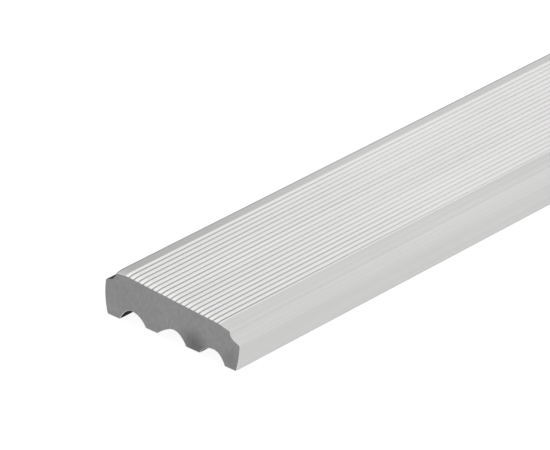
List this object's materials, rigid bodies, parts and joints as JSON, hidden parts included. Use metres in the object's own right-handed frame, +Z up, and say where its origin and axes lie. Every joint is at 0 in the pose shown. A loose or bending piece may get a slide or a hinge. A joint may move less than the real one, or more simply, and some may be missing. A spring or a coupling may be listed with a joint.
{
  "type": "threshold strip",
  "caption": "Solid extruded aluminium door threshold strip with a ribbed, gently sloping tread, hollow side coves and rounded shoulders, and feet between arched bedding channels.",
  "frame": {"origin": "centre of the strip's length and width, on the floor plane that the outer feet rest on", "axes": "+X across the strip from the high rear side to the low front side, +Y along the strip, +Z up"},
  "size_m": [0.0581, 1, 0.017],
  "materials": {
    "aluminium": "satin, mill-finished extrusion with sawn ends"
  },
  "bodies": {
    "root": {"threshold_bar": "aluminium"}
  },
  "joints": []
}
